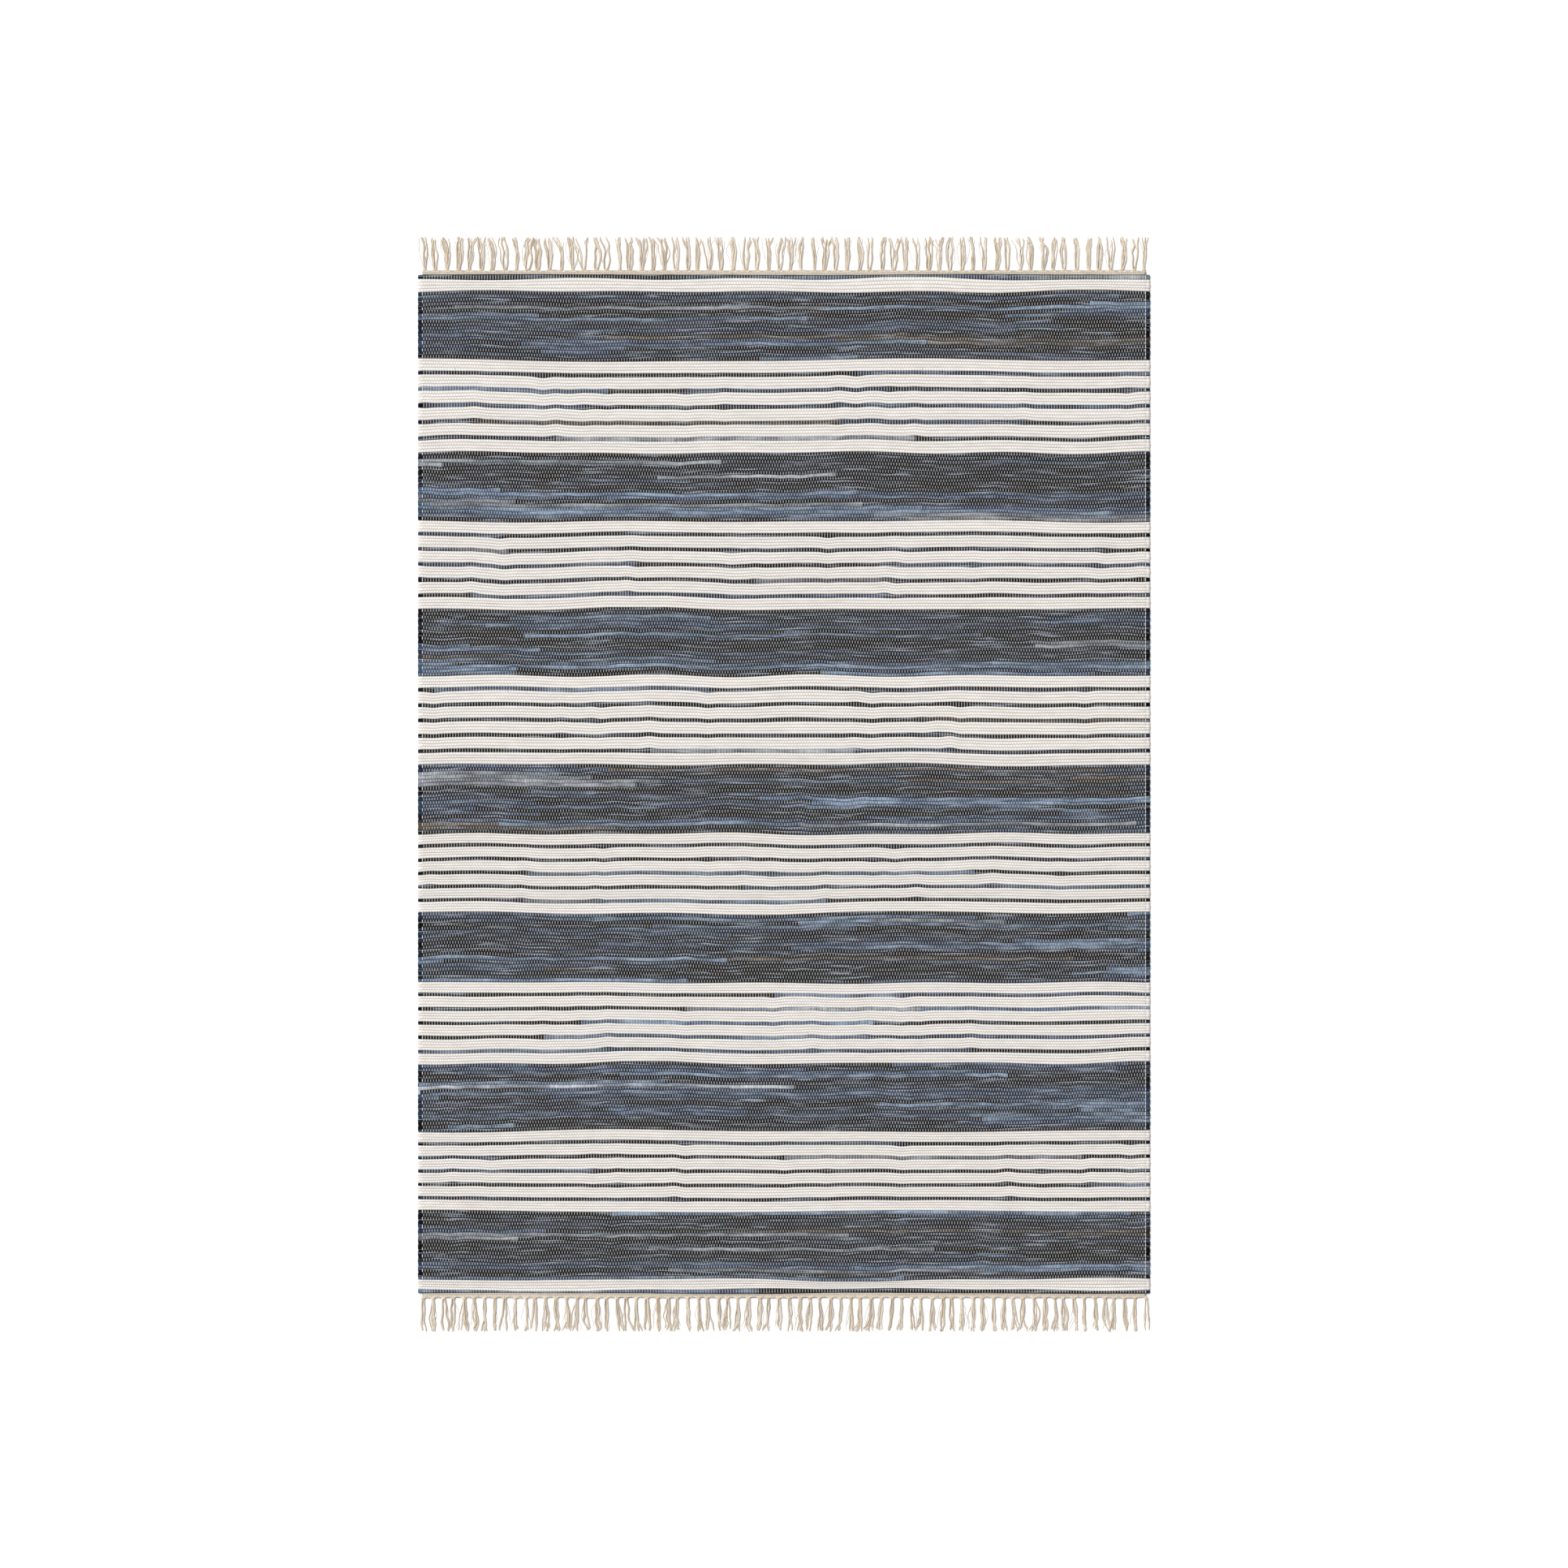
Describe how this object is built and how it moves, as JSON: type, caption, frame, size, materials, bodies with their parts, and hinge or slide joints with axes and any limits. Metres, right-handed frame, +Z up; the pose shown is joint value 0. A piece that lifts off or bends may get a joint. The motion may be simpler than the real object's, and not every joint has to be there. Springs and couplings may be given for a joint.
{
  "type": "fringed striped rag rug",
  "caption": "Flat handwoven cotton rag rug with wide dark bands, pale lined bands and a knotted warp fringe at both ends.",
  "frame": {"origin": "on the floor, under the middle of the rug", "axes": "+Z up from the floor, +Y along the rug's length towards its far fringe, +X along the wefts"},
  "size_m": [1.2, 1.793, 0.0056],
  "materials": {
    "rag_weave": "matte woven cotton rag",
    "warp_cotton": "matte unbleached cotton yarn"
  },
  "bodies": {
    "root": {"woven_body": "rag_weave", "fringe_far_end": "warp_cotton", "fringe_near_end": "warp_cotton"}
  },
  "joints": []
}
